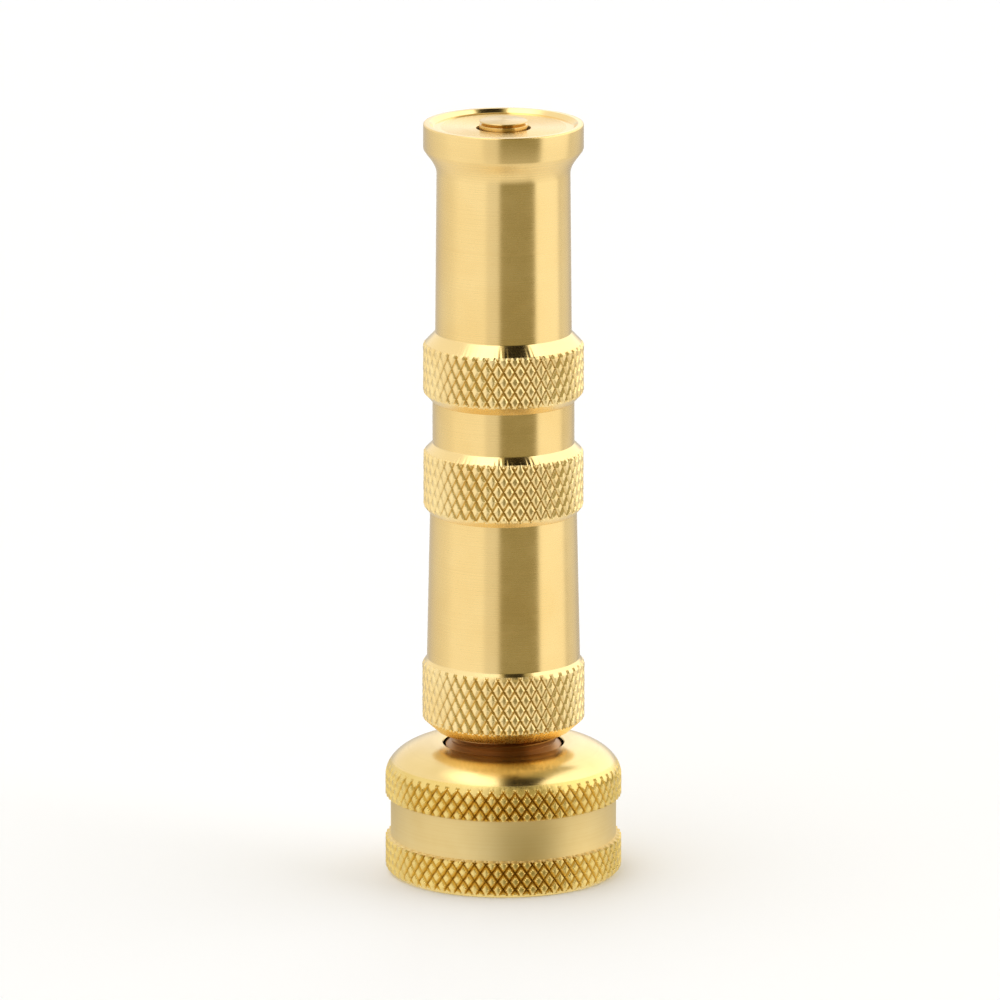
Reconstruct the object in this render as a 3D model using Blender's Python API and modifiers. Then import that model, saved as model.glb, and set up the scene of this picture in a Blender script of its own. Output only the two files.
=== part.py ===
"""A brass twist nozzle for a garden hose, at rest: standing on its coupling, shut.

Every piece is turned about one upright axis, +Z. The origin is the middle of the coupling's mouth,
which is also the lowest point. A swivelling coupling nut holds the hollow stem by its tail flange,
against a rubber washer. The barrel screws up the stem to open: its conical seat leaves the tip seal,
water passes from the stem's cross holes between barrel and stem, and leaves round the tip's head.
"""

from math import ceil, cos, floor, hypot, pi, radians, sin

import bmesh
import bpy

MM = 0.001

# Clearances
GAP = 0.30 * MM  # between pieces that touch or run in each other
SINK = 0.10 * MM  # how far a thread's ridge starts inside its wall

# Hose thread: 3/4-11.5NH, female
HOSE_PITCH = 25.4 / 11.5 * MM
HOSE_ROOT = 13.62 * MM  # radius
HOSE_DEPTH = 1.32 * MM
HOSE_CREST_WIDTH = 0.45 * MM
HOSE_SLOPE = 0.577  # each flank's spread for its depth: 30 degrees
HOSE_ENTRY = 0.80 * MM  # plain mouth before the first turn
HOSE_THREAD_LENGTH = 8.10 * MM

# Hose washer
WASHER_THICKNESS = 3.00 * MM
WASHER_HOLE = 8.00 * MM  # radius
WASHER_GRIP = 0.50 * MM  # how far the hose thread's crests reach over its edge
WASHER_ROUNDING = 0.60 * MM

# Coupling nut
NUT_WALL = 1.43 * MM  # at the plain band, outside the hose thread
NUT_KNURL_RISE = 0.70 * MM
NUT_LOW_KNURL = 4.75 * MM  # height of the lower knurled band
NUT_BAND = 5.75 * MM  # height of the plain band above it
NUT_BAND_CHAMFER = 0.20 * MM
NUT_FOOT_CHAMFER = 0.70 * MM
NUT_MOUTH_CHAMFER = 0.50 * MM
NUT_LIP = 2.90 * MM  # thickness of the lip that holds the stem's flange
NUT_DOME = 4.50 * MM  # height of the rounded shoulder
NUT_FLAT = 0.95 * MM  # width of the flat round the neck

# Stem
FLANGE_THICKNESS = 1.80 * MM
FLANGE_REACH = 0.30 * MM  # radius beyond the hose thread's crests
INLET_BORE = 5.00 * MM  # radius of the water way's wide, lower end
OUTLET_BORE = 3.20 * MM  # radius of its narrow, upper end
TUBE = 5.00 * MM  # outer radius of the slim upper stem
CROSS_HOLE = 1.30 * MM  # radius
CROSS_HOLE_DROP = 3.00 * MM  # below the end of the water way
BLIND_CONE = 1.80 * MM
WEB = 2.20 * MM  # solid metal between the water way and the tip's hole
BORE_TAPER = 4.00 * MM

# Screw between stem and barrel, right-handed
SCREW_PITCH = 25.4 / 12 * MM
SCREW_CREST = 7.75 * MM  # outer radius of the stem's thread, and of its neck
SCREW_DEPTH = 0.80 * MM
SCREW_SLOPE = 0.50
OPEN_TURNS = 3.0
ENGAGED_TURNS = 4.3
SCREW_ENTRY = 1.50 * MM  # plain bore below the barrel's thread
SHUT_SPACE = 1.90 * MM  # neck left bare between nut and barrel when shut
SMOOTH_STEP = 0.25 * MM  # from the thread's root down to the smooth stem

# Stop ring, a spring-steel C on the stem above its thread
STOP_THICKNESS = 1.00 * MM
STOP_REACH = 0.35 * MM  # how far it stands out over the barrel's thread
STOP_WIDTH = 1.20 * MM  # radial
STOP_SLOT = 3.00 * MM  # the C's opening

# Barrel seal, an O-ring in a gland of the barrel
GLAND_RISE = 3.20 * MM  # from the bore's start to the gland
BARREL_SEAL_SECTION = 0.75 * MM  # radius of its round section
SMOOTH_MARGIN = 1.20 * MM  # smooth stem beyond the seal, shut and open

# Tip seal, an O-ring on the stem, and the conical seat that closes on it
TIP_SEAL_SECTION = 1.00 * MM
SEAL_RISE = 0.70 * MM  # its middle above the foot of the seat
SEAT_HEIGHT = 5.30 * MM
THROAT = 3.60 * MM  # radius
THROAT_LENGTH = 1.70 * MM
PASSAGE = 1.10 * MM  # water space round the shoulder under the tip seal
SHOULDER = 1.30 * MM
LAND = 1.50 * MM  # height of the stem above the tip seal's groove
LAND_SPACE = 0.40 * MM  # between that land and the seat, shut

# Tip
STUD = 2.00 * MM  # radius
STUD_LENGTH = 7.70 * MM
NECK = 2.20 * MM
HEAD = 3.20 * MM
HEAD_THICKNESS = 0.25 * MM
HEAD_PROUD = 0.50 * MM  # above the rim, shut
HEAD_ROUNDING = 0.10 * MM
HEAD_GROOVE = 0.40 * MM  # height of the groove under it
HEAD_GROOVE_DEPTH = 0.50 * MM
PLUG_LENGTH = 0.80 * MM  # below that groove, as wide as the head
PLUG_TAPER = 0.70 * MM  # from there in to the neck
COLLAR = 3.30 * MM
COLLAR_HEIGHT = 1.20 * MM

# Barrel: each wall is measured out from the bore behind it
BARREL_LENGTH = 82.20 * MM
FOOT_WALL = 0.85 * MM
FOOT_CHAMFER = 0.30 * MM
GRIP_WALLS = (2.14 * MM, 1.71 * MM)  # plain length above the lowest ring: its foot and its top
WAIST_WALL = 2.41 * MM  # between the two upper rings
NOSE_WALLS = (2.04 * MM, 1.84 * MM)  # above the highest ring: its foot and its top
MOUTH_CHAMFER = 0.50 * MM
FACE_FALL = 0.10 * MM  # of the mouth's face, from that chamfer in to the throat
RIM_LAND = 0.80 * MM  # width of the flat round the mouth, outer chamfer included
RIM_HEIGHT = 3.30 * MM
RIM_RISE = 1.76 * MM  # how far the rim stands out from the nose
RIM_CHAMFER = 0.30 * MM
FLARE = 2.60 * MM
FLARE_POINTS = 6

# Knurled rings of the barrel, lowest first: height above the barrel's foot, lower chamfer, knurled
# length, upper chamfer, and how far the knurl stands out from the plain wall below it
RINGS = (
    (0.00 * MM, 1.70 * MM, 7.30 * MM, 0.85 * MM, 1.90 * MM),
    (29.65 * MM, 1.00 * MM, 7.25 * MM, 1.20 * MM, 0.86 * MM),
    (44.80 * MM, 1.30 * MM, 6.30 * MM, 1.70 * MM, 1.24 * MM),
)

# Facets round each kind of piece
WIDE_STEPS = 40
STEM_STEPS = 32
SMALL_STEPS = 24
DOME_POINTS = 8
FADE_STEPS = 8  # facets over which a thread's ridge rises from its wall

# Radii that follow
hose_crest = HOSE_ROOT - HOSE_DEPTH
nut_band = HOSE_ROOT + NUT_WALL
nut_knurl = nut_band + NUT_KNURL_RISE
nut_hole = SCREW_CREST + GAP
washer = hose_crest + WASHER_GRIP
flange = hose_crest + FLANGE_REACH
screw_root = SCREW_CREST - SCREW_DEPTH
barrel_root = SCREW_CREST + GAP
barrel_crest = screw_root + GAP
smooth_stem = screw_root - SMOOTH_STEP
barrel_bore = smooth_stem + GAP
gland = smooth_stem + 2 * BARREL_SEAL_SECTION + 2 * GAP
stop_outer = barrel_crest + STOP_REACH
stop_inner = stop_outer - STOP_WIDTH
stop_groove = stop_inner - GAP
nose_top = barrel_bore + NOSE_WALLS[1]
rim = nose_top + RIM_RISE

# Heights that follow, with the nozzle shut
hose_thread_high = HOSE_ENTRY + HOSE_THREAD_LENGTH
washer_low = hose_thread_high + GAP
washer_high = washer_low + WASHER_THICKNESS
flange_low = washer_high + GAP
flange_high = flange_low + FLANGE_THICKNESS
lip_low = flange_high + GAP
nut_high = lip_low + NUT_LIP
barrel_low = nut_high + SHUT_SPACE
barrel_high = barrel_low + BARREL_LENGTH
travel = OPEN_TURNS * SCREW_PITCH
barrel_thread_low = barrel_low + SCREW_ENTRY
barrel_thread_high = barrel_thread_low + ENGAGED_TURNS * SCREW_PITCH
stop_low = barrel_thread_high + travel + GAP
stop_high = stop_low + STOP_THICKNESS
relief_high = stop_high + 2 * GAP
bore_low = relief_high + barrel_root - barrel_bore
gland_low = bore_low + GLAND_RISE
gland_high = gland_low + 2 * BARREL_SEAL_SECTION + 2 * GAP
smooth_high = gland_high + travel + SMOOTH_MARGIN
throat_high = barrel_high - MOUTH_CHAMFER - FACE_FALL
throat_low = throat_high - THROAT_LENGTH
seat_low = throat_low - SEAT_HEIGHT
seal_height = seat_low + SEAL_RISE
seal_groove_low = seal_height - TIP_SEAL_SECTION - GAP
seal_groove_high = seal_height + TIP_SEAL_SECTION + GAP
shoulder_low = seal_groove_low - SHOULDER
stem_high = seal_groove_high + LAND
stud_hole_low = stem_high - STUD_LENGTH - GAP
blind_end = stud_hole_low - WEB
way_high = blind_end - BLIND_CONE
cross_height = way_high - CROSS_HOLE_DROP
head_high = barrel_high + HEAD_PROUD
head_low = head_high - HEAD_THICKNESS
plug_high = head_low - HEAD_GROOVE
plug_low = plug_high - PLUG_LENGTH

# The two screw threads share the space of one pitch, a gap apart on each flank
screw_half_crest = (SCREW_PITCH / 2 - GAP - SCREW_SLOPE * (SCREW_DEPTH - GAP)) / 2


def seat_radius(height, space=0.0):
    """The conical seat's radius at a height, drawn in by a space measured square to its wall."""
    run = barrel_bore - THROAT
    lean = hypot(run, SEAT_HEIGHT) / SEAT_HEIGHT
    return barrel_bore - run * (height - seat_low) / SEAT_HEIGHT - space * lean


seal_ring = seat_radius(seal_height, TIP_SEAL_SECTION + GAP)  # radius to the middle of its section
seal_groove = seal_ring - TIP_SEAL_SECTION - GAP


def clear_scene():
    for obj in list(bpy.data.objects):
        bpy.data.objects.remove(obj)


def new_collection(name):
    made = bpy.data.collections.new(name)
    bpy.context.scene.collection.children.link(made)
    return made


def surface(name, colour, metallic, roughness):
    made = bpy.data.materials.new(name)
    made.use_nodes = True
    shader = made.node_tree.nodes["Principled BSDF"]
    shader.inputs["Base Color"].default_value = (*colour, 1.0)
    shader.inputs["Metallic"].default_value = metallic
    shader.inputs["Roughness"].default_value = roughness
    made.diffuse_color = (*colour, 1.0)
    return made


def turned(name, profile, steps, closed=True):
    """Turns a profile of (radius, height) points, which runs down its outer side, about the axis."""
    mesh = bpy.data.meshes.new(name)
    points = [(radius, 0.0, height) for radius, height in profile]
    edges = [(place, place + 1) for place in range(len(points) - 1)]
    if closed:
        edges.append((len(points) - 1, 0))
    mesh.from_pydata(points, edges, [])
    obj = bpy.data.objects.new(name, mesh)
    screw = obj.modifiers.new("turn", "SCREW")
    screw.steps = steps
    screw.render_steps = steps
    screw.use_merge_vertices = True
    screw.merge_threshold = 1e-6
    return obj


def ring_seal(name, radius, section, height):
    """A rubber O-ring lying level."""
    bpy.ops.mesh.primitive_torus_add(
        location=(0.0, 0.0, height),
        major_segments=STEM_STEPS,
        minor_segments=10,
        major_radius=radius,
        minor_radius=section,
    )
    obj = bpy.context.active_object
    obj.name = name
    obj.data.name = name
    for holder in list(obj.users_collection):
        holder.objects.unlink(obj)
    return obj


def thread_ridge(name, base, crest, pitch, half_crest, slope, low, high, start, steps):
    """A right-hand helical ridge with sloped flanks, from just inside its wall to its crest.

    It keeps between two heights, passes through the height start at angle 0 or whole turns from
    it, and rises from its wall at both ends.
    """
    inward = 1 if base > crest else -1
    root = base + inward * SINK
    half_root = half_crest + slope * abs(root - crest)
    first = ceil((low + half_root - start) / pitch * steps)
    last = floor((high - half_root - start) / pitch * steps)
    mesh = bmesh.new()
    sections = []
    for step in range(first, last + 1):
        height = start + pitch * step / steps
        angle = 2 * pi * (step + 0.5) / steps
        rise = min(1.0, (step - first + 1) / FADE_STEPS, (last - step + 1) / FADE_STEPS)
        top = base + (crest - base) * rise
        half_top = half_crest + slope * abs(top - crest)
        corners = [
            (root, height - half_root),
            (top, height - half_top),
            (top, height + half_top),
            (root, height + half_root),
        ]
        sections.append([mesh.verts.new((r * cos(angle), r * sin(angle), z)) for r, z in corners])
    for here, there in zip(sections, sections[1:]):
        for corner in range(4):
            after = (corner + 1) % 4
            mesh.faces.new((here[corner], here[after], there[after], there[corner]))
    mesh.faces.new(sections[0])
    mesh.faces.new(sections[-1])
    bmesh.ops.recalc_face_normals(mesh, faces=mesh.faces)
    data = bpy.data.meshes.new(name)
    mesh.to_mesh(data)
    mesh.free()
    return bpy.data.objects.new(name, data)


def cross_drill(name, radius, reach, height, turn):
    """A level drill through the axis."""
    mesh = bmesh.new()
    bmesh.ops.create_cone(
        mesh, cap_ends=True, segments=16, radius1=radius, radius2=radius, depth=2 * reach
    )
    data = bpy.data.meshes.new(name)
    mesh.to_mesh(data)
    mesh.free()
    obj = bpy.data.objects.new(name, data)
    obj.rotation_euler = (radians(90), 0.0, turn)
    obj.location.z = height
    return obj


def block(name, size, centre):
    mesh = bmesh.new()
    bmesh.ops.create_cube(mesh, size=1.0)
    bmesh.ops.scale(mesh, vec=size, verts=mesh.verts)
    data = bpy.data.meshes.new(name)
    mesh.to_mesh(data)
    mesh.free()
    obj = bpy.data.objects.new(name, data)
    obj.location = centre
    return obj


def shape(obj, helper, operation):
    """Joins a helper to a piece, or cuts the piece with it."""
    helpers.objects.link(helper)
    helper.hide_render = True
    helper.display_type = "WIRE"
    boolean = obj.modifiers.new(helper.name, "BOOLEAN")
    boolean.object = helper
    boolean.operation = operation
    boolean.solver = "EXACT"


def finish(obj, material, parent=None):
    """Adds a piece to the nozzle: its modifiers become mesh, smooth between its real edges."""
    nozzle.objects.link(obj)
    bpy.context.view_layer.update()
    graph = bpy.context.evaluated_depsgraph_get()
    mesh = bpy.data.meshes.new_from_object(obj.evaluated_get(graph))
    mesh.name = obj.name
    obj.modifiers.clear()
    obj.data = mesh
    mesh.shade_smooth()
    mesh.set_sharp_from_angle(angle=radians(30))
    mesh.materials.clear()
    mesh.materials.append(material)
    if parent:
        obj.parent = parent
        obj.matrix_parent_inverse = parent.matrix_world.inverted()
    return obj


def dome():
    """The nut's rounded shoulder, a quarter ellipse from the flat's edge down to the knurl."""
    flat = nut_hole + NUT_FLAT
    foot = nut_high - NUT_DOME
    points = []
    for step in range(DOME_POINTS + 1):
        angle = pi / 2 * (1 - step / DOME_POINTS)
        radius = flat + (nut_knurl - flat) * cos(angle)
        points.append((radius, foot + NUT_DOME * sin(angle)))
    return points


def coupling_nut():
    band_low = NUT_LOW_KNURL
    band_high = NUT_LOW_KNURL + NUT_BAND
    mouth = HOSE_ROOT + NUT_MOUTH_CHAMFER
    outside = [
        (nut_knurl, band_high),
        (nut_band, band_high - NUT_BAND_CHAMFER),
        (nut_band, band_low + NUT_BAND_CHAMFER),
        (nut_knurl, band_low),
        (nut_knurl, NUT_FOOT_CHAMFER),
        (nut_knurl - NUT_FOOT_CHAMFER, 0.0),
    ]
    inside = [
        (mouth, 0.0),
        (HOSE_ROOT, NUT_MOUTH_CHAMFER),
        (HOSE_ROOT, washer_high),
        (flange + GAP, flange_low),
        (flange + GAP, lip_low),
        (nut_hole, lip_low),
        (nut_hole, nut_high),
    ]
    obj = turned("coupling_nut", dome() + outside + inside, WIDE_STEPS)
    ridge = thread_ridge(
        "hose_thread",
        HOSE_ROOT,
        hose_crest,
        HOSE_PITCH,
        HOSE_CREST_WIDTH / 2,
        HOSE_SLOPE,
        HOSE_ENTRY,
        hose_thread_high,
        HOSE_ENTRY,
        WIDE_STEPS,
    )
    shape(obj, ridge, "UNION")
    return obj


def hose_washer():
    profile = [
        (washer - WASHER_ROUNDING, washer_high),
        (washer, washer_high - WASHER_ROUNDING),
        (washer, washer_low + WASHER_ROUNDING),
        (washer - WASHER_ROUNDING, washer_low),
        (WASHER_HOLE, washer_low),
        (WASHER_HOLE, washer_high),
    ]
    return turned("hose_washer", profile, WIDE_STEPS)


def stem():
    shoulder = barrel_bore - PASSAGE
    top = [
        (0.0, stud_hole_low),
        (STUD + GAP, stud_hole_low),
        (STUD + GAP, stem_high),
        (seat_radius(stem_high, LAND_SPACE), stem_high),
        (seat_radius(seal_groove_high, LAND_SPACE), seal_groove_high),
        (seal_groove, seal_groove_high),
        (seal_groove, seal_groove_low),
        (shoulder, seal_groove_low),
        (shoulder, shoulder_low),
        (TUBE, shoulder_low - (shoulder - TUBE)),
    ]
    middle = [
        (TUBE, smooth_high + (smooth_stem - TUBE)),
        (smooth_stem, smooth_high),
        (smooth_stem, stop_high + GAP),
        (stop_groove, stop_high + GAP),
        (stop_groove, stop_low - GAP),
        (screw_root, stop_low - GAP),
        (screw_root, nut_high + 2 * GAP),
        (SCREW_CREST, nut_high + GAP),
    ]
    tail = [
        (SCREW_CREST, flange_high),
        (flange, flange_high),
        (flange, flange_low),
        (INLET_BORE, flange_low),
        (INLET_BORE, stop_high),
        (OUTLET_BORE, stop_high + BORE_TAPER),
        (OUTLET_BORE, way_high),
        (0.0, blind_end),
    ]
    obj = turned("stem", top + middle + tail, STEM_STEPS, closed=False)
    ridge = thread_ridge(
        "stem_thread",
        screw_root,
        SCREW_CREST,
        SCREW_PITCH,
        screw_half_crest,
        SCREW_SLOPE,
        nut_high + GAP,
        stop_low - 2 * GAP,
        barrel_thread_low,
        STEM_STEPS,
    )
    shape(obj, ridge, "UNION")
    for number in range(2):
        turn = (number + 0.5) * pi / 2
        drill = cross_drill(f"cross_drill_{number + 1}", CROSS_HOLE, 2 * TUBE, cross_height, turn)
        shape(obj, drill, "DIFFERENCE")
    return obj


def stop_ring():
    profile = [
        (stop_outer, stop_high),
        (stop_outer, stop_low),
        (stop_inner, stop_low),
        (stop_inner, stop_high),
    ]
    obj = turned("stop_ring", profile, STEM_STEPS)
    size = (2 * STOP_WIDTH + stop_inner, STOP_SLOT, 3 * STOP_THICKNESS)
    centre = (-stop_outer, 0.0, (stop_low + stop_high) / 2)
    shape(obj, block("stop_slot", size, centre), "DIFFERENCE")
    return obj


def tip():
    profile = [
        (0.0, head_high),
        (HEAD - HEAD_ROUNDING, head_high),
        (HEAD, head_high - HEAD_ROUNDING),
        (HEAD, head_low),
        (HEAD - HEAD_GROOVE_DEPTH, (head_low + plug_high) / 2),
        (HEAD, plug_high),
        (HEAD, plug_low),
        (NECK, plug_low - PLUG_TAPER),
        (NECK, stem_high + GAP + COLLAR_HEIGHT),
        (COLLAR, stem_high + GAP),
        (STUD, stem_high + GAP),
        (STUD, stud_hole_low + GAP),
        (0.0, stud_hole_low + GAP),
    ]
    return turned("tip", profile, SMALL_STEPS, closed=False)


def flare():
    """From the rim's foot in to the nose, easing out of one and into the other."""
    points = []
    for step in range(FLARE_POINTS + 1):
        part = step / FLARE_POINTS
        ease = part * part * (3 - 2 * part)
        points.append((rim - RIM_RISE * ease, barrel_high - RIM_HEIGHT - FLARE * part))
    return points


def knurled_ring(place, above, below):
    """One ring of the barrel from top to foot, between the plain radii above and below it."""
    rise_from, low_chamfer, length, high_chamfer, rise = RINGS[place]
    foot = barrel_low + rise_from
    radius = below + rise
    return [
        (above, foot + low_chamfer + length + high_chamfer),
        (radius, foot + low_chamfer + length),
        (radius, foot + low_chamfer),
        (below, foot),
    ]


def barrel():
    foot = barrel_root + FOOT_WALL
    grip_low, grip_high = (barrel_root + wall for wall in GRIP_WALLS)
    waist = barrel_bore + WAIST_WALL
    nose_low = barrel_bore + NOSE_WALLS[0]
    outside = (
        [(rim - RIM_CHAMFER, barrel_high), (rim, barrel_high - RIM_CHAMFER)]
        + flare()
        + knurled_ring(2, nose_low, waist)
        + knurled_ring(1, waist, grip_high)
        + knurled_ring(0, grip_low, foot)
    )
    inside = [
        (barrel_root + FOOT_CHAMFER, barrel_low),
        (barrel_root, barrel_low + FOOT_CHAMFER),
        (barrel_root, relief_high),
        (barrel_bore, bore_low),
        (barrel_bore, gland_low),
        (gland, gland_low),
        (gland, gland_high),
        (barrel_bore, gland_high),
        (barrel_bore, seat_low),
        (THROAT, throat_low),
        (THROAT, throat_high),
        (rim - RIM_LAND - MOUTH_CHAMFER, barrel_high - MOUTH_CHAMFER),
        (rim - RIM_LAND, barrel_high),
    ]
    obj = turned("barrel", outside + inside, WIDE_STEPS)
    ridge = thread_ridge(
        "barrel_thread",
        barrel_root,
        barrel_crest,
        SCREW_PITCH,
        screw_half_crest,
        SCREW_SLOPE,
        barrel_thread_low,
        barrel_thread_high,
        barrel_thread_low + SCREW_PITCH / 2,
        WIDE_STEPS,
    )
    shape(obj, ridge, "UNION")
    return obj


clear_scene()
nozzle = new_collection("hose_spray_nozzle")
helpers = new_collection("cutters")

turned_brass = surface("turned_brass", (0.80, 0.58, 0.24), 1.0, 0.28)
coupling_brass = surface("coupling_brass", (0.76, 0.50, 0.17), 1.0, 0.32)
stem_brass = surface("stem_brass", (0.55, 0.33, 0.12), 1.0, 0.40)
tip_brass = surface("tip_brass", (0.78, 0.56, 0.24), 1.0, 0.22)
spring_steel = surface("spring_steel", (0.45, 0.45, 0.46), 1.0, 0.35)
washer_rubber = surface("washer_rubber", (0.03, 0.03, 0.03), 0.0, 0.60)
seal_rubber = surface("seal_rubber", (0.02, 0.02, 0.02), 0.0, 0.45)

nut = finish(coupling_nut(), coupling_brass)
finish(hose_washer(), washer_rubber, nut)
water_stem = finish(stem(), stem_brass, nut)
finish(tip(), tip_brass, water_stem)
finish(stop_ring(), spring_steel, water_stem)
finish(ring_seal("tip_seal", seal_ring, TIP_SEAL_SECTION, seal_height), seal_rubber, water_stem)
gland_middle = (gland_low + gland_high) / 2
gland_ring = smooth_stem + GAP + BARREL_SEAL_SECTION
sleeve_seal = ring_seal("barrel_seal", gland_ring, BARREL_SEAL_SECTION, gland_middle)
finish(sleeve_seal, seal_rubber, water_stem)
finish(barrel(), turned_brass, sleeve_seal)
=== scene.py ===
from math import cos, hypot, pi, radians, sin, sqrt

import bmesh
import bpy
import numpy as np
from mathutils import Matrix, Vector


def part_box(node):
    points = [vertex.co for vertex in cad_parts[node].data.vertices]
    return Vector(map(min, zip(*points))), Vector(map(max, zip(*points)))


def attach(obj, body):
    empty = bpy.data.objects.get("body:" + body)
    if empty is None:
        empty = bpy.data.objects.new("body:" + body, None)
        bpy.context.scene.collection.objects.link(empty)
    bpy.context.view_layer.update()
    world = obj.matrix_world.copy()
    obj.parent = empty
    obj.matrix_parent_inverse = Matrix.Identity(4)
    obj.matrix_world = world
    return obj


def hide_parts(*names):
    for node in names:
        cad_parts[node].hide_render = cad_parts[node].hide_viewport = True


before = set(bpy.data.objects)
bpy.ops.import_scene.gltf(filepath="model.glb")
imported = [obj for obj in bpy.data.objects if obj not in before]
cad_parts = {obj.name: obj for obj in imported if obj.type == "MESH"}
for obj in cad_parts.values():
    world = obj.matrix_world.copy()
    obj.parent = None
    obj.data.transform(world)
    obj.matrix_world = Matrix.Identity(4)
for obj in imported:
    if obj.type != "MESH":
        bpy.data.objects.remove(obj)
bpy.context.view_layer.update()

# A brass twist nozzle for a garden hose, finished over its CAD pieces. Each piece is turned about
# the upright axis through the origin, so it is built as rows of points, one row for each height of
# its outline: down its outside and back up its inside. Lengths are metres.

MM = 0.001
GAP = 0.30 * MM  # the CAD's clearance between pieces

# Knurling: blunt diamonds between straight grooves, as a pair of wheels rolls them
KNURL_STEPS = 10  # points across one diamond
KNURL_BLUNT = 0.6  # height of a diamond, as a share of the point that its flanks would meet in
BARREL_DIAMONDS = 44
BARREL_DIAMOND_HEIGHT = 2.70 * MM
BARREL_KNURL_DEPTH = 0.32 * MM
NUT_DIAMONDS = 62
NUT_DIAMOND_HEIGHT = 2.20 * MM
NUT_KNURL_DEPTH = 0.56 * MM

# Rounding of turned edges
EDGE = 0.12 * MM
ARC_STEPS = 4
EASE = 0.06 * MM  # a flat beside each rounded edge, which keeps its shading off the face
SHARP = radians(32)  # edges that turn more than this are shaded sharp
SAME_PLACE = 1e-7  # points nearer than this are one point

# Hose thread, 3/4-11.5NH
HOSE_PITCH = 25.4 / 11.5 * MM
HOSE_ROOT = 13.62 * MM
HOSE_DEPTH = 1.32 * MM
HOSE_HALF_CREST = 0.225 * MM
HOSE_SLOPE = 0.577
HOSE_ENTRY = 0.80 * MM

# Screw between stem and barrel
SCREW_PITCH = 25.4 / 12 * MM
SCREW_CREST = 7.75 * MM
SCREW_DEPTH = 0.80 * MM
SCREW_HALF_CREST = 0.254 * MM
SCREW_SLOPE = 0.50
SCREW_ENTRY = 1.50 * MM
SCREW_TURNS = 4.3
screw_root = SCREW_CREST - SCREW_DEPTH
gland = screw_root - 0.25 * MM  # the smooth stem that the barrel's seal runs on
wall = SCREW_CREST + GAP  # the barrel's inside over the stem's thread
bore = gland + GAP  # and over the smooth stem

# The barrel's conical seat, from the bore up to the throat
THROAT = 3.60 * MM
SEAT_RISE = 5.30 * MM


def spans(node):
    """(outer radius, lowest height, highest height) of a CAD node."""
    low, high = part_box(node)
    return high.x, low.z, high.z


nut_knurl, nut_low, nut_high = spans("coupling_nut")
washer, washer_low, washer_high = spans("hose_washer")
flange, flange_low, stem_high = spans("stem")
stop_outer, stop_low, stop_high = spans("stop_ring")
gland_outer, gland_seal_low, gland_seal_high = spans("barrel_seal")
tip_seal_outer, tip_seal_low, tip_seal_high = spans("tip_seal")
collar, tip_low, tip_high = spans("tip")
_, barrel_low, barrel_high = spans("barrel")
stop_inner = stop_outer - 1.20 * MM

# Finishes, as places in a piece's list of materials. OTHER is the nut's band, and the barrel's
# bright chamfers and mouth.
PLAIN, KNURLED, OTHER = 0, 1, 2


def rounded(*corners):
    """A turned outline with each corner (radius, height, rounding) eased by a small arc."""
    points = [Vector((radius, height)) for radius, height, _ in corners]
    made = []
    for place, (corner, point) in enumerate(zip(corners, points)):
        rounding = corner[2]
        if not rounding or place in (0, len(points) - 1):
            made.append(tuple(point))
            continue
        back, on = points[place - 1] - point, points[place + 1] - point
        reach = min(rounding, 0.4 * back.length, 0.4 * on.length)
        start, end = point + reach * back.normalized(), point + reach * on.normalized()
        made.append(tuple(start + min(EASE, 0.05 * back.length) * back.normalized()))
        for step in range(ARC_STEPS + 1):
            part = step / ARC_STEPS
            spot = (1 - part) ** 2 * start + 2 * part * (1 - part) * point + part * part * end
            made.append(tuple(spot))
        made.append(tuple(end + min(EASE, 0.05 * on.length) * on.normalized()))
    return made


def zigzag(phase):
    """0 at whole numbers, 1 half way between them, straight in between."""
    return 1 - np.abs(2 * (phase % 1) - 1)


def creased(radius, a, b, c, d):
    """Two triangles for each face a, b, c, d, split along its lower diagonal, as a groove runs."""
    valley = radius[a] + radius[c] < radius[b] + radius[d]
    one = np.where(valley, [a, b, c], [a, b, d])
    two = np.where(valley, [a, c, d], [b, c, d])
    return np.concatenate([one.T, two.T]).tolist()


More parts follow.
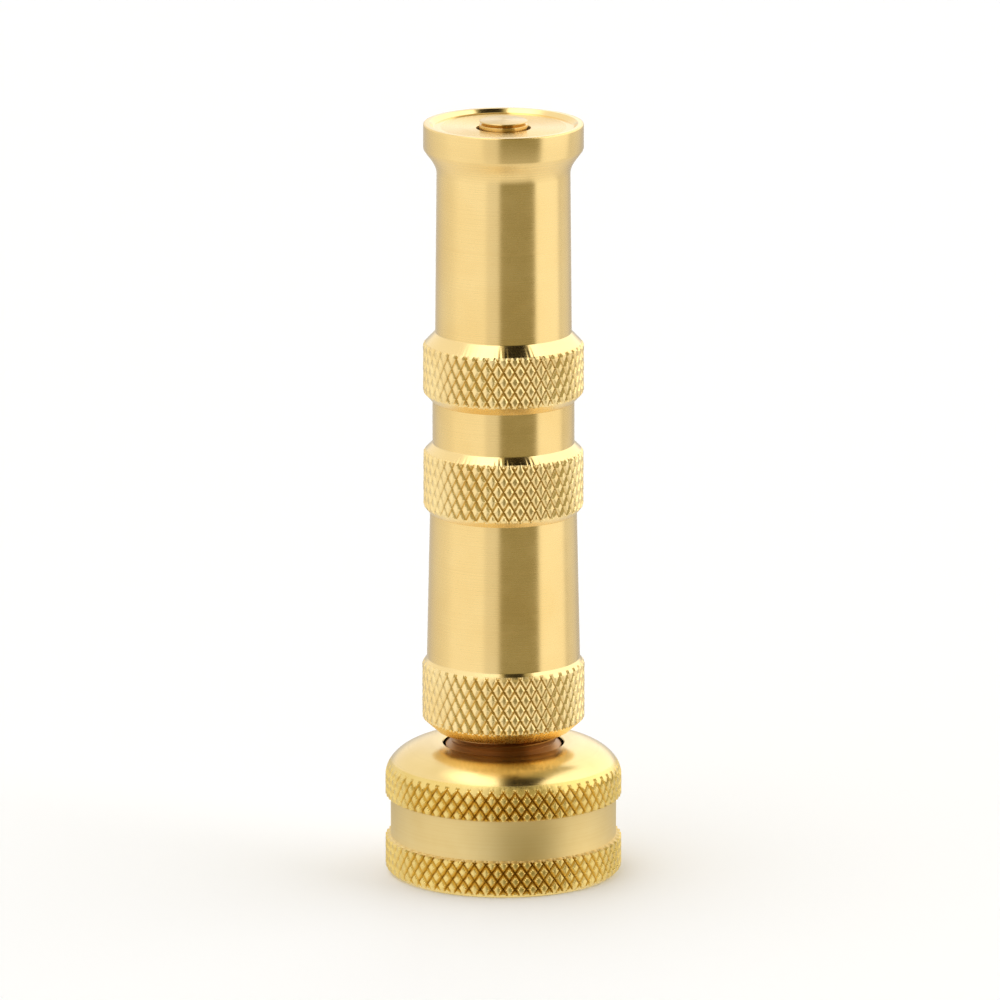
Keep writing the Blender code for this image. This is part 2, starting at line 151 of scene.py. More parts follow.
class Turning:
    """A turned piece's surface, as rows of points round the axis."""

    def __init__(self, columns):
        self.columns = columns
        self.turn = np.arange(columns) / columns
        self.rows = []
        self.threads = []

    def row(self, radius, height, groove=0.0, finish=PLAIN, after_turn=0):
        """after_turn says how many rows on this row has moved when it comes round again."""
        ones = np.ones(self.columns)
        self.rows.append((radius * ones, height * ones, groove * ones, finish, after_turn))

    def outline(self, points):
        for radius, height in points:
            self.row(radius, height)

    def knurl(self, top, bottom, crest, depth, diamonds, diamond_height, skin):
        """Rolled diamonds between two heights, down to depth below crest, and inside the skin."""
        step = diamond_height / KNURL_STEPS
        between = np.arange(np.ceil(top / step) - 1, np.floor(bottom / step), -1) * step
        for height in (top, *between, bottom):
            lean = height / diamond_height
            across = diamonds * self.turn
            one, other = zigzag(across + lean), zigzag(across - lean)
            point = np.minimum(np.minimum(one, other) / KNURL_BLUNT, 1)
            sunk = depth * (1 - np.sin(pi / 2 * point))
            radius = np.minimum(crest - sunk, skin(height))
            # How deep each point sits, kept for the material's grime and painted shade in the
            # grooves, strongest where the grooves cross
            share = np.clip((skin(height) - radius) / depth, 0, 1)
            crossing = np.clip(1 - 0.8 * (one + other), 0, 1)
            self.row(radius, height, share * (0.4 + 0.6 * crossing), KNURLED)

    def thread(self, top, bottom, root, crest, pitch, start, half_crest, slope, upward):
        """A right-hand thread whose ridge fades into its root at both ends."""
        half_root = half_crest + slope * abs(crest - root)
        eased = half_crest + 0.1 * (half_root - half_crest)
        ridge = [(-half_root, 0), (-eased, 0.9), (-0.5 * half_crest, 1)]
        ridge += [(-offset, share) for offset, share in reversed(ridge)]
        first = int(np.floor((bottom - start) / pitch)) - 2
        last = int(np.ceil((top - start) / pitch)) + 2
        helix = []
        for lap in range(first, last):
            for offset, share in ridge:
                height = np.clip(start + pitch * (lap + self.turn) + offset, bottom, top)
                ends = np.minimum(height - bottom, top - height) / (0.5 * pitch)
                radius = root + (crest - root) * share * np.clip(ends, 0, 1)
                helix.append((radius, height, len(ridge)))
        if not upward:
            helix = [(radius, height, -laps) for radius, height, laps in reversed(helix)]
        lowest = len(self.rows)
        for radius, height, laps in helix:
            self.row(radius, height, after_turn=laps)
        self.threads.append((lowest, len(self.rows) - 1))

    def partners(self):
        """The row that each row runs on into after a whole turn."""
        found = np.arange(len(self.rows))
        for lowest, highest in self.threads:
            for place in range(lowest, highest + 1):
                moved = place + self.rows[place][4]
                found[place] = min(max(moved, lowest), highest)
        return found

    def faces(self, radius, closed):
        """Faces between each row and the next, and their finishes; a closed piece's rows meet."""
        count = len(self.rows)
        index = np.arange(count * self.columns).reshape(count, self.columns)
        beside = np.roll(index, -1, axis=1)
        beside[:, -1] = index[self.partners(), 0]
        faces, finishes = [], []
        for here in range(count if closed else count - 1):
            there = (here + 1) % count
            corners = (index[here], index[there], beside[there], beside[here])
            finish = max(self.rows[here][3], self.rows[there][3]) if there else PLAIN
            if self.rows[here][3] == self.rows[there][3] == KNURLED:
                made = creased(radius, *corners)
            else:
                made = np.array(corners).T.tolist()
            faces += made
            finishes += [finish] * len(made)
        return faces, finishes

    def build(self, name, materials, body, node, closed=True):
        """The finished piece, on its body and in place of its CAD node."""
        radius = np.array([row[0] for row in self.rows])
        height = np.array([row[1] for row in self.rows])
        groove = np.array([row[2] for row in self.rows])
        angle = 2 * pi * self.turn
        points = np.stack([radius * np.cos(angle), radius * np.sin(angle), height], axis=-1)
        faces, finishes = self.faces(radius.reshape(-1), closed)
        mesh = bpy.data.meshes.new(name)
        mesh.from_pydata(points.reshape(-1, 3).tolist(), [], faces)
        mesh.polygons.foreach_set("material_index", finishes)
        attribute = mesh.attributes.new("groove", "FLOAT", "POINT")
        attribute.data.foreach_set("value", groove.reshape(-1).astype(np.float32))
        for material in materials:
            mesh.materials.append(material)
        clean = bmesh.new()
        clean.from_mesh(mesh)
        bmesh.ops.remove_doubles(clean, verts=clean.verts, dist=SAME_PLACE)
        bmesh.ops.dissolve_degenerate(clean, edges=clean.edges, dist=SAME_PLACE)
        clean.to_mesh(mesh)
        clean.free()
        mesh.shade_smooth()
        mesh.set_sharp_from_angle(angle=SHARP)
        obj = bpy.data.objects.new(name, mesh)
        bpy.context.scene.collection.objects.link(obj)
        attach(obj, body)
        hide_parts(node)
        return obj


def helper(name, shape):
    """An object that only cuts others, from a bmesh."""
    data = bpy.data.meshes.new(name)
    shape.to_mesh(data)
    shape.free()
    obj = bpy.data.objects.new(name, data)
    bpy.context.scene.collection.objects.link(obj)
    return obj


def cut(obj, cutter):
    """Cuts a piece with a helper, which is then removed."""
    boolean = obj.modifiers.new("cut", "BOOLEAN")
    boolean.object = cutter
    boolean.solver = "EXACT"
    bpy.context.view_layer.update()
    mesh = bpy.data.meshes.new_from_object(obj.evaluated_get(bpy.context.evaluated_depsgraph_get()))
    obj.modifiers.clear()
    obj.data = mesh
    mesh.set_sharp_from_angle(angle=SHARP)
    bpy.data.objects.remove(cutter)


# ---- Materials ----


class Nodes:
    """A node tree, with short calls for the nodes that these finishes share."""

    def __init__(self, tree):
        self.tree = tree

    def add(self, kind, inputs=None, **settings):
        node = self.tree.nodes.new(kind)
        for key, value in settings.items():
            setattr(node, key, value)
        for key, value in (inputs or {}).items():
            if isinstance(value, bpy.types.NodeSocket):
                self.tree.links.new(value, node.inputs[key])
            else:
                node.inputs[key].default_value = value
        return node

    def link(self, output, socket):
        self.tree.links.new(output, self.tree.nodes["Principled BSDF"].inputs[socket])

    def turned_place(self):
        """(radius, height, 0): the same all round the axis, so a pattern on it makes rings."""
        place = self.add("ShaderNodeTexCoord").outputs["Object"]
        split = self.add("ShaderNodeSeparateXYZ", {0: place})
        flat = self.add("ShaderNodeCombineXYZ", {0: split.outputs[0], 1: split.outputs[1]})
        length = self.add("ShaderNodeVectorMath", {0: flat.outputs[0]}, operation="LENGTH")
        return self.add(
            "ShaderNodeCombineXYZ", {0: length.outputs["Value"], 1: split.outputs[2]}
        ).outputs[0]

    def place(self):
        return self.add("ShaderNodeTexCoord").outputs["Object"]

    def noise(self, vector, scale, detail=2.0, roughness=0.5):
        inputs = {"Vector": vector, "Scale": scale, "Detail": detail, "Roughness": roughness}
        return self.add("ShaderNodeTexNoise", inputs).outputs["Fac"]

    def ranged(self, value, low, high, to_low, to_high):
        inputs = {0: value, 1: low, 2: high, 3: to_low, 4: to_high}
        return self.add("ShaderNodeMapRange", inputs).outputs[0]

    def mixed(self, share, one, other):
        node = self.add("ShaderNodeMix", data_type="RGBA")
        for key, value in ((0, share), (6, one), (7, other)):
            if isinstance(value, bpy.types.NodeSocket):
                self.tree.links.new(value, node.inputs[key])
            elif isinstance(value, tuple):
                node.inputs[key].default_value = (*value, 1.0)
            else:
                node.inputs[key].default_value = value
        return node.outputs[2]

    def times(self, one, other):
        return self.add("ShaderNodeMath", {0: one, 1: other}, operation="MULTIPLY").outputs[0]

    def within(self, value, ends, edge):
        """1 between two ends and 0 outside them, with soft edges."""
        up = self.ranged(value, ends[0] - edge, ends[0] + edge, 0.0, 1.0)
        down = self.ranged(value, ends[1] - edge, ends[1] + edge, 1.0, 0.0)
        return self.times(up, down)

    def bump(self, height, strength, distance):
        inputs = {"Height": height, "Strength": strength, "Distance": distance}
        self.link(self.add("ShaderNodeBump", inputs).outputs[0], "Normal")


def material_of(name, metallic, roughness, **settings):
    """A new material with its uniform values set, and the nodes to add to it."""
    material = bpy.data.materials.new(name)
    material.use_nodes = True
    sockets = material.node_tree.nodes["Principled BSDF"].inputs
    sockets["Metallic"].default_value = metallic
    sockets["Roughness"].default_value = roughness
    for socket, value in settings.items():
        sockets[socket.replace("_", " ").title()].default_value = value
    return material, Nodes(material.node_tree)


def turned_brass(name, light, deep, roughness, lines=1.0, anisotropic=0.9):
    """Brass off a lathe: fine rings round the axis, slow changes of tone, and faint smears."""
    material, nodes = material_of(
        name, 1.0, roughness, anisotropic=anisotropic, anisotropic_rotation=0.25
    )
    rings = nodes.noise(nodes.turned_place(), 7000.0, 3.0, 0.6)
    tone = nodes.noise(nodes.place(), 90.0, 3.0, 0.55)
    smear = nodes.noise(nodes.place(), 420.0, 4.0, 0.6)
    colour = nodes.mixed(nodes.ranged(tone, 0.35, 0.7, 0.0, 0.5), light, deep)
    colour = nodes.mixed(nodes.ranged(rings, 0.35, 0.75, 0.0, 0.22 * lines), colour, deep)
    nodes.link(colour, "Base Color")
    grain = nodes.ranged(rings, 0.3, 0.7, roughness - 0.03, roughness + 0.04)
    worn = nodes.ranged(smear, 0.4, 0.75, 0.0, 0.05)
    total = nodes.add("ShaderNodeMath", {0: grain, 1: worn}, operation="ADD").outputs[0]
    nodes.link(total, "Roughness")
    tangent = nodes.add("ShaderNodeTangent", direction_type="RADIAL", axis="Z")
    nodes.link(tangent.outputs[0], "Tangent")
    nodes.bump(rings, 0.15 * lines, 0.02 * MM)
    return material


def knurled_brass(name, light, deep, grime_and_shade_tone, roughness):
    """Rolled brass: bright blunt points, and grooves darkened by grime and by painted shade."""
    material, nodes = material_of(name, 1.0, roughness)
    groove = nodes.add("ShaderNodeAttribute", attribute_name="groove").outputs["Fac"]
    grain = nodes.noise(nodes.place(), 2600.0, 4.0, 0.6)
    tone = nodes.noise(nodes.place(), 160.0, 3.0, 0.55)
    colour = nodes.mixed(nodes.ranged(tone, 0.35, 0.7, 0.0, 0.6), light, deep)
    # Grime and painted shade: darker the deeper a point sits in a groove, most where grooves cross
    sunk = nodes.ranged(groove, 0.35, 1.0, 0.0, 0.85)
    uneven = nodes.times(sunk, nodes.ranged(grain, 0.3, 0.6, 0.6, 1.0))
    nodes.link(nodes.mixed(uneven, colour, grime_and_shade_tone), "Base Color")
    rough = nodes.ranged(grain, 0.3, 0.7, roughness - 0.06, roughness + 0.08)
    nodes.link(rough, "Roughness")
    nodes.bump(grain, 0.25, 0.02 * MM)
    return material


def rubber(name, colour, grey, roughness):
    """Moulded rubber with a fine grain and a trace of bloom."""
    material, nodes = material_of(name, 0.0, roughness)
    grain = nodes.noise(nodes.place(), 3800.0, 3.0, 0.6)
    bloom = nodes.noise(nodes.place(), 260.0, 4.0, 0.6)
    nodes.link(nodes.mixed(nodes.ranged(bloom, 0.5, 0.8, 0.0, 0.5), colour, grey), "Base Color")
    nodes.link(nodes.ranged(grain, 0.3, 0.7, roughness - 0.08, roughness + 0.1), "Roughness")
    nodes.bump(grain, 0.3, 0.03 * MM)
    return material


def drawn_steel(name):
    """Flat spring steel wire, with drawing lines along it."""
    material, nodes = material_of(name, 1.0, 0.3)
    lines = nodes.noise(nodes.turned_place(), 9000.0, 2.0, 0.5)
    tone = nodes.noise(nodes.place(), 300.0, 3.0, 0.5)
    colour = nodes.mixed(tone, (0.42, 0.42, 0.44), (0.60, 0.60, 0.61))
    nodes.link(colour, "Base Color")
    nodes.link(nodes.ranged(lines, 0.3, 0.7, 0.22, 0.4), "Roughness")
    nodes.bump(lines, 0.3, 0.02 * MM)
    return material


BRASS = (0.93, 0.69, 0.30)
BRASS_DEEP = (0.84, 0.57, 0.20)
# Grime and painted shade for the barrel's knurl grooves
GROOVE_GRIME_AND_SHADE = (0.42, 0.29, 0.08)
smooth = turned_brass("barrel_turned", BRASS, BRASS_DEEP, 0.25)
bright = turned_brass("barrel_chamfers", (0.96, 0.73, 0.34), (0.88, 0.62, 0.24), 0.13, 0.5, 0.5)
ring_knurl = knurled_brass("barrel_knurled", (0.98, 0.76, 0.36), (0.88, 0.62, 0.24), GROOVE_GRIME_AND_SHADE, 0.27)
nut_smooth = turned_brass("nut_turned", (0.90, 0.68, 0.30), (0.78, 0.54, 0.18), 0.19, 1.0, 0.7)
nut_band = turned_brass("nut_band", (0.84, 0.66, 0.31), (0.74, 0.53, 0.20), 0.50, 1.0, 0.3)
# Its last colour is the grime and painted shade in the nut's knurl grooves
nut_knurled = knurled_brass(
    "nut_knurled", (0.88, 0.66, 0.23), (0.76, 0.53, 0.14), (0.32, 0.20, 0.03), 0.30
)
# The stem's brass is darkened to paint the shade under the barrel's overhang and in its thread
shade_darkened_brass = turned_brass("stem_turned", (0.50, 0.27, 0.09), (0.30, 0.14, 0.05), 0.36, 1.6, 0.6)
tip_brass = turned_brass("tip_turned", (0.78, 0.57, 0.24), (0.68, 0.46, 0.16), 0.20)
black_rubber = rubber("washer_rubber_grain", (0.022, 0.022, 0.022), (0.06, 0.06, 0.058), 0.62)
seal_rubber = rubber("seal_rubber_grain", (0.012, 0.012, 0.012), (0.03, 0.03, 0.03), 0.42)
steel = drawn_steel("stop_ring_steel")


# ---- Pieces ----


def coupling_nut():
    band = nut_knurl - 0.70 * MM
    hole = SCREW_CREST + GAP
    flat = hole + 0.95 * MM
    dome, dome_low = 4.50 * MM, nut_high - 4.50 * MM
    band_low, band_high = 4.75 * MM, 10.50 * MM
    chamfer, step, fillet = 0.70 * MM, 0.20 * MM, 0.02 * MM
    runout = 1.95 * MM  # how far the upper knurl's grooves run on up the dome
    inner, roof = flange + GAP, nut_high - 2.90 * MM

    def shoulder(height):
        rise = min(max((height - dome_low) / dome, 0.0), 1.0)
        return flat + (nut_knurl - flat) * sqrt(1 - rise * rise)

    def foot(height):
        return nut_knurl - max(0.0, chamfer - height)

    piece = Turning(NUT_DIAMONDS * KNURL_STEPS)
    piece.outline([(hole, nut_high - 0.15 * MM), (hole + 0.10 * MM, nut_high)])
    piece.outline([(flat - 0.30 * MM, nut_high)])
    for share in np.linspace(1.0, 0.0, 20)[:-1]:
        rise = sin(pi / 2 * share)
        height = dome_low + dome * rise
        if height > dome_low + runout + 0.1 * MM:
            piece.row(shoulder(height), height)
    knurled = (nut_knurl, NUT_KNURL_DEPTH, NUT_DIAMONDS, NUT_DIAMOND_HEIGHT)
    piece.knurl(dome_low + runout, band_high, *knurled, shoulder)
    for radius, height in (
        (band + fillet, band_high - step),
        (band, band_high - step - EASE),
        (band, band_low + step + EASE),
        (band + fillet, band_low + step),
    ):
        piece.row(radius, height, finish=OTHER)
    piece.knurl(band_low, 0.0, *knurled, foot)
    lead_in, thread_high = 0.50 * MM, washer_low - GAP
    piece.outline([(band - 0.12 * MM, 0.0), (HOSE_ROOT + lead_in, 0.0), (HOSE_ROOT, lead_in)])
    piece.outline([(HOSE_ROOT, HOSE_ENTRY)])
    piece.thread(
        thread_high, HOSE_ENTRY, HOSE_ROOT, HOSE_ROOT - HOSE_DEPTH, HOSE_PITCH,
        HOSE_ENTRY, HOSE_HALF_CREST, HOSE_SLOPE, upward=True,
    )
    piece.outline([(HOSE_ROOT, thread_high), (HOSE_ROOT, washer_high)])
    piece.outline([(inner, flange_low), (inner, roof), (hole, roof)])
    piece.build("coupling_nut_turned", [nut_smooth, nut_knurled, nut_band],
                "coupling", "coupling_nut")


def ring_of(name, outline, columns, material, body, node):
    piece = Turning(columns)
    piece.outline(outline)
    return piece.build(name, [material], body, node)


def washer_outline():
    hole, rounding = 8.00 * MM, 0.60 * MM
    middle, side = (washer_low + washer_high) / 2, 0.06 * MM
    return rounded(
        (hole + side, washer_high, 0),
        (washer, washer_high, rounding),
        (washer, washer_low, rounding),
        (hole, washer_low, 0.25 * MM),
        (hole, middle, 0.5 * MM),
        (hole, washer_high, 0.2 * MM),
        (hole + side, washer_high, 0),
    )[:-1]


def seal_outline(outer, low, high):
    """An O-ring's round section, with the mould's faint line inside and out."""
    section, flash = (high - low) / 2, 0.03 * MM
    middle, ring = (low + high) / 2, outer - section
    steps = 32
    points = []
    for step in range(steps):
        angle = pi / 2 - 2 * pi * step / steps
        reach = section - (0 if step in (steps // 4, 3 * steps // 4) else flash)
        points.append((ring + reach * cos(angle), middle + reach * sin(angle)))
    return points


def stem():
    tube, shoulder = 5.00 * MM, bore - 1.10 * MM
    groove = tip_seal_outer - (tip_seal_high - tip_seal_low) - GAP
    groove_low, groove_high = tip_seal_low - GAP, tip_seal_high + GAP
    shoulder_low = groove_low - 1.30 * MM
    stud, flange_high = 2.30 * MM, flange_low + 1.80 * MM
    hole_low = tip_low - GAP
    smooth_high = gland_seal_high + GAP + 7.55 * MM
    stop_groove = stop_inner - GAP
    inlet, outlet = 5.00 * MM, 3.20 * MM
    way_high = hole_low - 4.00 * MM
    seat_low = (tip_seal_low + tip_seal_high) / 2 - 0.70 * MM

    def land(height):
        run = bore - THROAT
        lean = hypot(run, SEAT_RISE) / SEAT_RISE
        return bore - run * (height - seat_low) / SEAT_RISE - 0.40 * MM * lean

    piece = Turning(160)
    piece.outline(rounded(
        (0.0, hole_low, 0),
        (stud, hole_low, EDGE),
        (stud, stem_high, EDGE),
        (land(stem_high), stem_high, EDGE),
        (land(groove_high), groove_high, EDGE),
        (groove, groove_high, EDGE),
        (groove, groove_low, EDGE),
        (shoulder, groove_low, EDGE),
        (shoulder, shoulder_low, EDGE),
        (tube, shoulder_low - (shoulder - tube), EDGE),
        (tube, smooth_high + (gland - tube), EDGE),
        (gland, smooth_high, EDGE),
        (gland, stop_high + GAP, EDGE),
        (stop_groove, stop_high + GAP, EDGE),
        (stop_groove, stop_low - GAP, EDGE),
        (screw_root, stop_low - GAP, EDGE),
        (screw_root, stop_low - 2 * GAP, 0),
    ))
    piece.thread(
        stop_low - 2 * GAP, nut_high + GAP, screw_root, SCREW_CREST, SCREW_PITCH,
        barrel_low + SCREW_ENTRY, SCREW_HALF_CREST, SCREW_SLOPE, upward=False,
    )
    piece.outline(rounded(
        (screw_root, nut_high + GAP, 0),
        (SCREW_CREST, nut_high - GAP, EDGE),
        (SCREW_CREST, flange_high, EDGE),
        (flange, flange_high, EDGE),
        (flange, flange_low, EDGE),
        (inlet, flange_low, 0.3 * MM),
        (inlet, stop_high, EDGE),
        (outlet, stop_high + 4.00 * MM, EDGE),
        (outlet, way_high, EDGE),
        (0.0, way_high + 1.80 * MM, 0),
    ))
    obj = piece.build("stem_turned", [shade_darkened_brass], "stem", "stem", closed=False)
    cross_holes(obj, way_high - 3.00 * MM)


def cross_holes(obj, height):
    """Two holes right through the stem, which cross in its water way."""
    hole, length = 1.30 * MM, 20 * MM
    for number in range(2):
        drill = bmesh.new()
        bmesh.ops.create_cone(
            drill, cap_ends=True, segments=32, radius1=hole, radius2=hole, depth=length
        )
        cutter = helper("cross_drill", drill)
        cutter.rotation_euler = (pi / 2, 0.0, (number + 0.5) * pi / 2)
        cutter.location.z = height
        cut(obj, cutter)


def tip():
    stud, neck, head = 2.00 * MM, 2.20 * MM, 3.20 * MM
    crown = 0.12 * MM
    thickness, groove, groove_depth = 0.25 * MM, 0.40 * MM, 0.50 * MM
    plug_length, taper = 0.80 * MM, 0.70 * MM
    head_low = tip_high - thickness
    plug_high = head_low - groove
    plug_low = plug_high - plug_length
    collar_low = stem_high + GAP
    piece = Turning(128)
    piece.outline(rounded(
        (0.0, tip_high, 0),
        (0.5 * head, tip_high - 0.2 * crown, 0.8 * MM),
        (head - 0.12 * MM, tip_high - crown, 0.1 * MM),
        (head, tip_high - crown - 0.07 * MM, 0.05 * MM),
        (head, head_low, 0.05 * MM),
        (head - groove_depth, head_low - groove / 2, 0.08 * MM),
        (head, plug_high, 0.06 * MM),
        (head, plug_low, 0.08 * MM),
        (neck, plug_low - taper, 0.2 * MM),
        (neck, collar_low + 1.20 * MM, 0.2 * MM),
        (collar, collar_low, 0.05 * MM),
        (stud, collar_low, 0.05 * MM),
        (stud, tip_low, 0.15 * MM),
        (0.0, tip_low, 0),
    ))
    piece.build("tip_turned", [tip_brass], "stem", "tip", closed=False)


def stop_ring():
    middle = (stop_outer + stop_inner) / 2
    outline = rounded(
        (middle, stop_high, 0),
        (stop_outer, stop_high, EDGE),
        (stop_outer, stop_low, EDGE),
        (stop_inner, stop_low, EDGE),
        (stop_inner, stop_high, EDGE),
        (middle, stop_high, 0),
    )[:-1]
    obj = ring_of("stop_ring_wire", outline, 160, steel, "stem", "stop_ring")
    block = bmesh.new()
    bmesh.ops.create_cube(block, size=1.0)
    bmesh.ops.scale(block, vec=(stop_outer, 3.00 * MM, 4 * MM), verts=block.verts)
    cutter = helper("slot", block)
    cutter.location = (-stop_outer, 0.0, (stop_low + stop_high) / 2)
    cut(obj, cutter)


def knurled_ring(piece, lift, low_chamfer, length, high_chamfer, rise, above, below):
    """A ring of the barrel from its top down, with a chamfer at each end of its knurl."""
    base = barrel_low + lift
    crest = below + rise
    low, high = base + low_chamfer, base + low_chamfer + length
    top = high + high_chamfer

    def skin(height):
        if height > high:
            return above + (crest - above) * (top - height) / high_chamfer
        if height < low:
            return below + (crest - below) * (height - base) / low_chamfer
        return crest

    sunk = crest - BARREL_KNURL_DEPTH
    ends = []
    for end, near, plain in ((top, high, above), (base, low, below)):
        share = max(0.0, (sunk - plain) / (crest - plain))
        ends.append(end + (near - end) * share)
    piece.row(above, top + 2 * EASE)
    piece.row(above, top, finish=OTHER)
    if ends[0] < top:
        fall = EASE * high_chamfer / (crest - above)
        piece.row(above + EASE, top - fall, finish=OTHER)
    piece.knurl(*ends, crest, BARREL_KNURL_DEPTH, BARREL_DIAMONDS, BARREL_DIAMOND_HEIGHT, skin)
    piece.row(below, base)
    if lift:
        piece.row(below, base - 2 * EASE)


def flared(rim, nose, high, length):
    """The outline under the rim, down to the nose: steep at first, then easing into it."""
    steps = 16
    outline = []
    for step in range(steps + 1):
        share = step / steps
        part = share**0.72
        eased = part * part * (3 - 2 * part)
        outline.append((rim - (rim - nose) * eased, high - length * share))
    return outline


def barrel_inside(piece, foot, throat_high, on_face):
    """From the foot up: the screw, the seal's room, the conical seat and the throat."""
    room, room_low, room_high = gland_outer + GAP, gland_seal_low - GAP, gland_seal_high + GAP
    thread_low = barrel_low + SCREW_ENTRY
    thread_high = thread_low + SCREW_TURNS * SCREW_PITCH
    relief_high = stop_high + 2 * GAP
    throat_low = throat_high - 1.70 * MM
    piece.outline([
        (foot - 0.10 * MM, barrel_low),
        (wall + 0.30 * MM, barrel_low),
        (wall, barrel_low + 0.30 * MM),
        (wall, thread_low),
    ])
    piece.thread(
        thread_high, thread_low, wall, screw_root + GAP, SCREW_PITCH,
        thread_low + SCREW_PITCH / 2, SCREW_HALF_CREST, SCREW_SLOPE, upward=True,
    )
    piece.outline(rounded(
        (wall, thread_high, 0),
        (wall, relief_high, EDGE),
        (bore, relief_high + wall - bore, EDGE),
        (bore, room_low, EDGE),
        (room, room_low, EDGE),
        (room, room_high, EDGE),
        (bore, room_high, EDGE),
        (bore, throat_low - SEAT_RISE, EDGE),
        (THROAT, throat_low, EDGE),
        (THROAT, throat_high, EDGE),
        on_face,
    )[:-1])


def barrel():
    nose_high, nose_low, waist = bore + 1.84 * MM, bore + 2.04 * MM, bore + 2.41 * MM
    grip_high, grip_low, foot = wall + 1.71 * MM, wall + 2.14 * MM, wall + 0.85 * MM
    rim = nose_high + 1.76 * MM
    flare_high, flare = barrel_high - 3.30 * MM, 3.40 * MM
    mouth_chamfer, face_fall = 0.50 * MM, 0.10 * MM
    throat_high = barrel_high - mouth_chamfer - face_fall
    # Each knurled ring: its height above the foot, lower chamfer, length, upper chamfer, how far it
    # stands out of the wall below it, and the radii of the walls above and below
    rings = (
        (0.00 * MM, 1.70 * MM, 7.30 * MM, 0.85 * MM, 1.90 * MM, grip_low, foot),
        (29.65 * MM, 1.00 * MM, 7.25 * MM, 1.20 * MM, 0.86 * MM, waist, grip_high),
        (44.80 * MM, 1.30 * MM, 6.30 * MM, 1.70 * MM, 1.24 * MM, nose_low, waist),
    )
    land = rim - 0.80 * MM
    face = land - mouth_chamfer
    on_face = (face - 1.00 * MM, throat_high + 0.82 * face_fall, 0)
    on_land = (land + 0.20 * MM, barrel_high, 0)
    mouth = rounded(
        on_face,
        (face, barrel_high - mouth_chamfer, 0.06 * MM),
        (land, barrel_high, 0.06 * MM),
        on_land,
    )
    piece = Turning(BARREL_DIAMONDS * KNURL_STEPS)
    for radius, height in mouth:
        piece.row(radius, height, finish=OTHER)
    piece.outline(rounded(on_land, (rim, barrel_high, 0.30 * MM), (rim, flare_high, 0))[1:])
    piece.outline(flared(rim, nose_high, flare_high, flare))
    for values in reversed(rings):
        knurled_ring(piece, *values)
    barrel_inside(piece, foot, throat_high, on_face)
    piece.build("barrel_turned", [smooth, ring_knurl, bright], "barrel",
                "barrel")


coupling_nut()
ring_of("hose_washer_moulded", washer_outline(), 160, black_rubber, "coupling",
        "hose_washer")
stem()
tip()
ring_of("tip_seal_moulded", seal_outline(tip_seal_outer, tip_seal_low, tip_seal_high), 128,
        seal_rubber, "stem", "tip_seal")
stop_ring()
ring_of("barrel_seal_moulded", seal_outline(gland_outer, gland_seal_low, gland_seal_high), 160,
        seal_rubber, "barrel_seal", "barrel_seal")
barrel()


# ---- Floor, light and camera ----


def floor():
    bpy.ops.mesh.primitive_plane_add(size=8.0, location=(0.0, 0.0, -0.02 * MM))
    obj = bpy.context.active_object
    obj.name = "floor"
    material, nodes = material_of("pale_floor", 0.0, 0.7)
    tone = nodes.noise(nodes.place(), 3.0, 2.0)
    nodes.link(nodes.mixed(tone, (0.97, 0.97, 0.98), (0.98, 0.98, 0.99)), "Base Color")
    obj.data.materials.append(material)
    obj.visible_glossy = False


# Brightness of the studio by bearing, in degrees from the camera's side and positive to its right:
# tall soft boxes, with a darker, warmer opening between them where the camera stands
LOW_RING = (
    (-180, 0.62), (-152, 0.62), (-140, 0.72), (-126, 0.82), (-98, 0.95), (-84, 1.07), (-32, 1.07),
    (-28, 0.86), (-9, 0.82), (-4, 0.28), (54, 0.28), (59, 1.09), (106, 1.09), (111, 0.72),
    (116, 0.70), (119, 0.78), (142, 0.72), (152, 0.55), (180, 0.62),
)
HIGH_RING = (
    (-180, 1.05), (-126, 1.00), (-98, 1.02), (-84, 1.10), (-32, 1.10), (-28, 0.95), (-9, 0.90),
    (-4, 0.42), (54, 0.42), (59, 1.60), (120, 1.60), (150, 1.45), (180, 1.30),
)
WHITE = (1.0, 1.0, 1.0)
WARM = (1.0, 0.91, 0.52)  # tint of what is darker than HALF
HALF = 0.5
OVERHEAD = (2.0, 2.0, 2.0)
FLOOR_GLOW = (1.0, 0.98, 0.94)
# The openings overhead, each from and to along X, then along Y, then its tone: a dim one, and a
# black one in it
OPENINGS = (
    ((-0.06, 0.43), (-0.97, 0.60), (0.45, 0.40, 0.22)),
    ((0.01, 0.395), (-0.60, 0.10), (0.02, 0.016, 0.01)),
)
OPENING_EDGE = 0.02


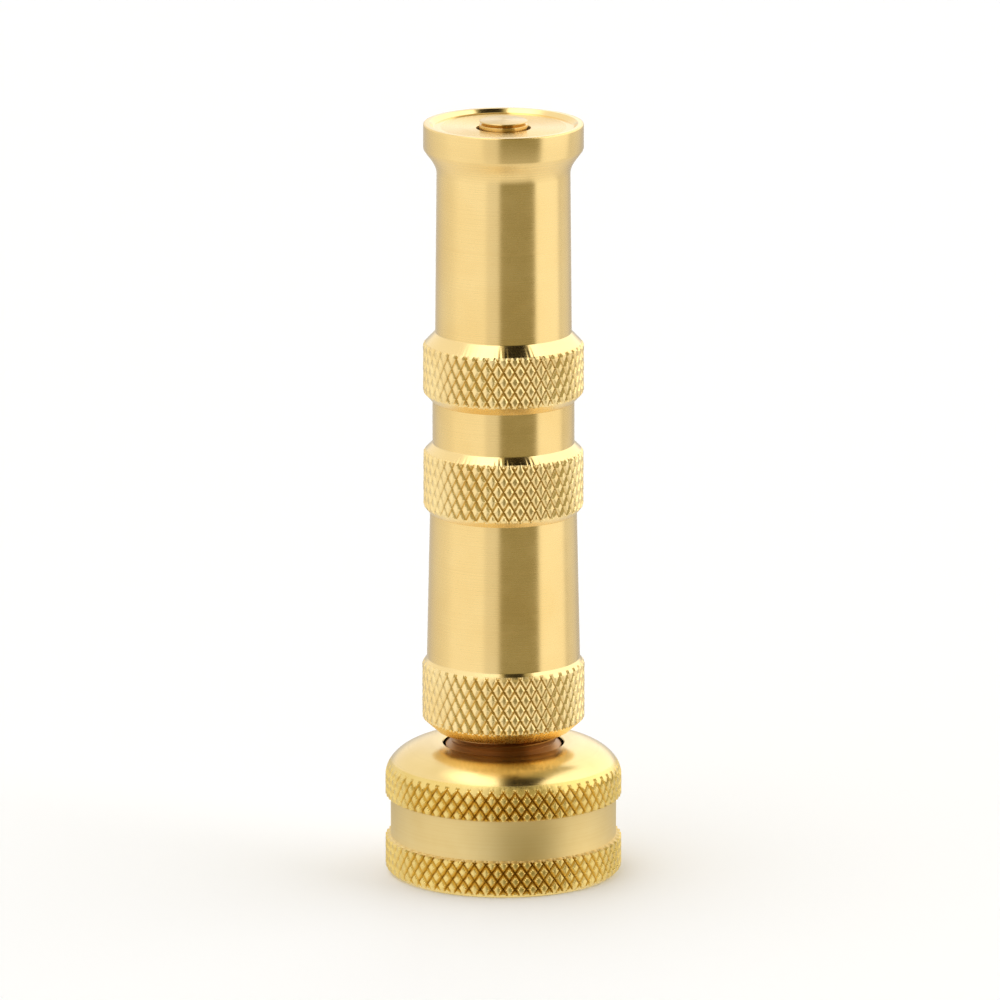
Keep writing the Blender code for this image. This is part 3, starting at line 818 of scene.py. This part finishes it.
def ring_ramp(nodes, bearing, stops):
    """The colour of one ring of the studio at a bearing."""
    share = nodes.ranged(bearing, -pi, pi, 0.0, 1.0)
    ramp = nodes.add("ShaderNodeValToRGB", {0: share})
    elements = ramp.color_ramp.elements
    elements.remove(elements[-1])
    for place, (angle, value) in enumerate(stops):
        spot = (angle + 180) / 360
        element = elements.new(spot) if place else elements[0]
        element.position = spot
        tint = WARM if value < HALF else WHITE
        element.color = (*(value * part for part in tint), 1.0)
    return ramp.outputs[0]


def studio():
    """A white studio that the brass mirrors: two rings of soft boxes, and openings overhead."""
    world = bpy.data.worlds.new("studio")
    world.use_nodes = True
    bpy.context.scene.world = world
    nodes = Nodes(world.node_tree)
    direction = nodes.add("ShaderNodeTexCoord").outputs["Generated"]
    x, y, z = nodes.add("ShaderNodeSeparateXYZ", {0: direction}).outputs
    bearing = nodes.add(
        "ShaderNodeMath", {0: x, 1: nodes.times(y, -1.0)}, operation="ARCTAN2"
    ).outputs[0]
    low, high = (ring_ramp(nodes, bearing, stops) for stops in (LOW_RING, HIGH_RING))
    walls = nodes.mixed(nodes.ranged(z, -0.02, 0.16, 0.0, 1.0), low, high)
    walls = nodes.mixed(nodes.ranged(z, -0.80, -0.38, 1.0, 0.0), walls, FLOOR_GLOW)
    room = nodes.mixed(nodes.ranged(z, 0.80, 0.92, 0.0, 1.0), walls, OVERHEAD)
    upper = nodes.ranged(z, 0.25, 0.45, 0.0, 1.0)
    for sides, ends, tone in OPENINGS:
        across = nodes.within(x, sides, OPENING_EDGE)
        along = nodes.within(y, ends, OPENING_EDGE)
        room = nodes.mixed(nodes.times(nodes.times(across, along), upper), room, tone)
    world.node_tree.links.new(room, world.node_tree.nodes["Background"].inputs[0])


def camera():
    """A long lens, a little above the nozzle and looking down at its middle."""
    distance = 1524 * MM
    middle = (barrel_high + nut_low) / 2
    drop = 0.235  # how far the view falls for each metre along it
    aside, below = -0.46 * MM, -0.25 * MM
    data = bpy.data.cameras.new("camera")
    data.lens = 424.5
    data.sensor_width = 36.0
    data.clip_end = 50.0
    obj = bpy.data.objects.new("camera", data)
    bpy.context.scene.collection.objects.link(obj)
    obj.location = (aside, -distance, middle + distance * drop + below)
    look = Vector((aside, 0.0, middle + below)) - obj.location
    obj.rotation_euler = look.to_track_quat("-Z", "Y").to_euler()
    bpy.context.scene.camera = obj


floor()
studio()
camera()
bpy.context.scene.view_settings.view_transform = "Standard"
